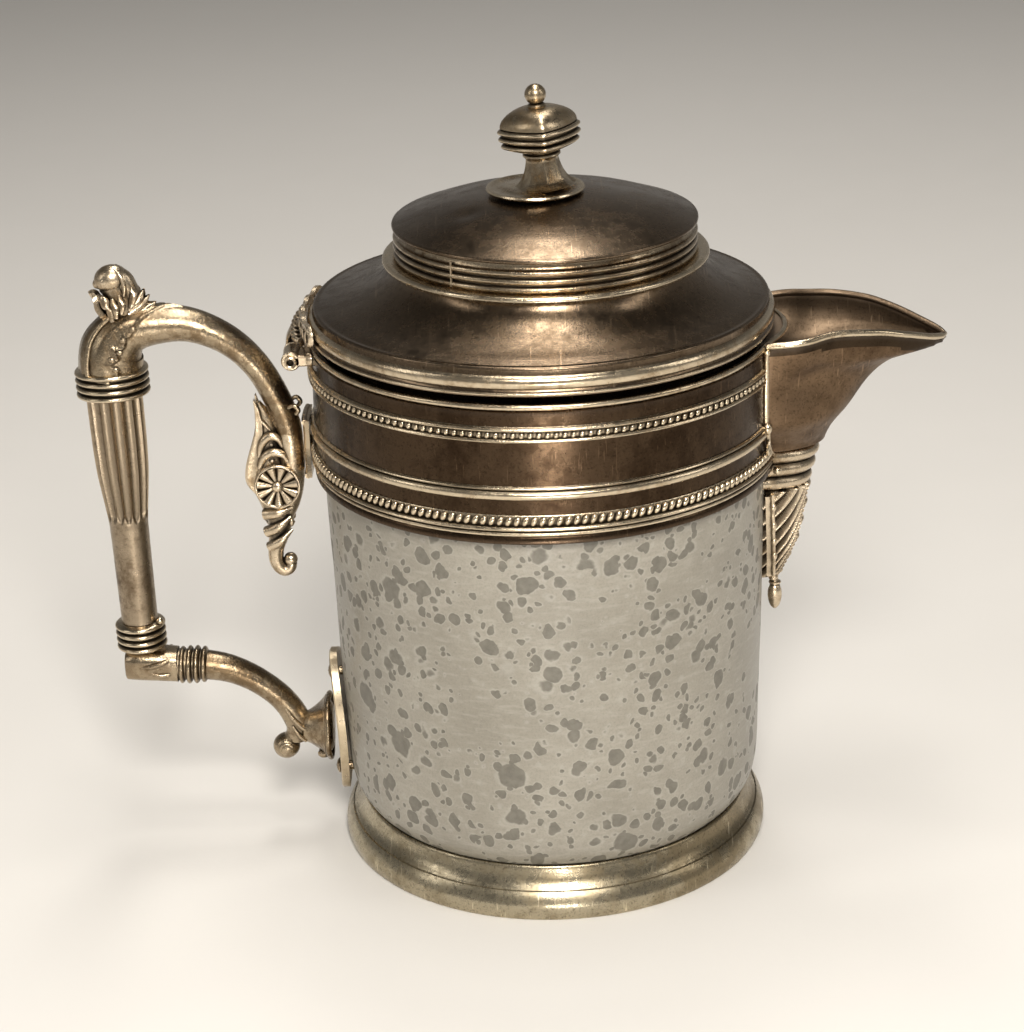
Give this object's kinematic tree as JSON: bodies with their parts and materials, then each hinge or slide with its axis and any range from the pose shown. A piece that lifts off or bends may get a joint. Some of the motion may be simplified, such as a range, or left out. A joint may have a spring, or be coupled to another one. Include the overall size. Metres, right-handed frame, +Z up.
{
  "type": "lidded cream jug",
  "caption": "Small lidded cream jug: mottled enamelled pot in silver-plated mounts, beak spout, fluted loop handle and hinged domed lid with a knop finial.",
  "frame": {"origin": "on the table, under the middle of the bounding box", "axes": "+X from the handle to the spout, +Z up, +Y to the left of the spout; the jug is symmetric about the XZ plane"},
  "size_m": [0.1588, 0.0856, 0.1444],
  "materials": {
    "enamel": "satin mottled grey vitreous enamel over sheet steel, darker rounded blotches",
    "bright_plate": "worn silver plate on cast britannia metal, polished on the high places, brown in the recesses",
    "tarnished_plate": "deeply toned silver plate on spun sheet, brown and smoky, fine scratches",
    "dull_plate": "rubbed, greyish worn plate over base metal",
    "steel": "plain steel"
  },
  "bodies": {
    "jug": {"enamel_pot": "enamel", "foot_ring": "dull_plate", "handle_grip": "dull_plate", "spout_leaf_backplate": "dull_plate", "collar_sleeve": "tarnished_plate", "spout_shell": "tarnished_plate", "collar_rim_wire": "bright_plate", "upper_bead_moulding": "bright_plate", "middle_ridge": "bright_plate", "lower_bead_moulding": "bright_plate", "spout_rim_bead": "bright_plate", "spout_root_strip_near": "bright_plate", "spout_root_strip_far": "bright_plate", "spout_reeded_band": "bright_plate", "spout_leaf": "bright_plate", "spout_drop_bead": "bright_plate", "hinge_body_leaf": "bright_plate", "handle_upper_arm": "bright_plate", "thumb_ornament": "bright_plate", "upper_ferrule": "bright_plate", "lower_ferrule": "bright_plate", "handle_lower_arm": "bright_plate", "handle_bell_pad": "bright_plate", "handle_oval_plate": "bright_plate", "plate_rivet_upper": "bright_plate", "plate_rivet_lower": "bright_plate", "handle_collar_strap": "bright_plate", "acanthus_drop": "bright_plate", "rosette_near": "bright_plate", "rosette_far": "bright_plate", "hinge_pin": "steel"},
    "lid": {"lid_shoulder": "tarnished_plate", "lid_rim_bead": "bright_plate", "lid_bezel": "tarnished_plate", "lid_ledge_ring": "bright_plate", "lid_reeded_drum": "bright_plate", "lid_crown": "tarnished_plate", "finial_flange": "bright_plate", "finial_stem": "bright_plate", "finial_bun": "bright_plate", "finial_ball": "bright_plate", "finial_stud": "steel", "finial_nut": "steel", "hinge_lid_leaf": "bright_plate"}
  },
  "joints": [
    {"name": "lid_hinge", "type": "hinge", "parent": "jug", "child": "lid", "pos_m": [-0.03902, 0, 0.0974], "axis": [0, -1, 0], "range_deg": [0, 85]}
  ]
}
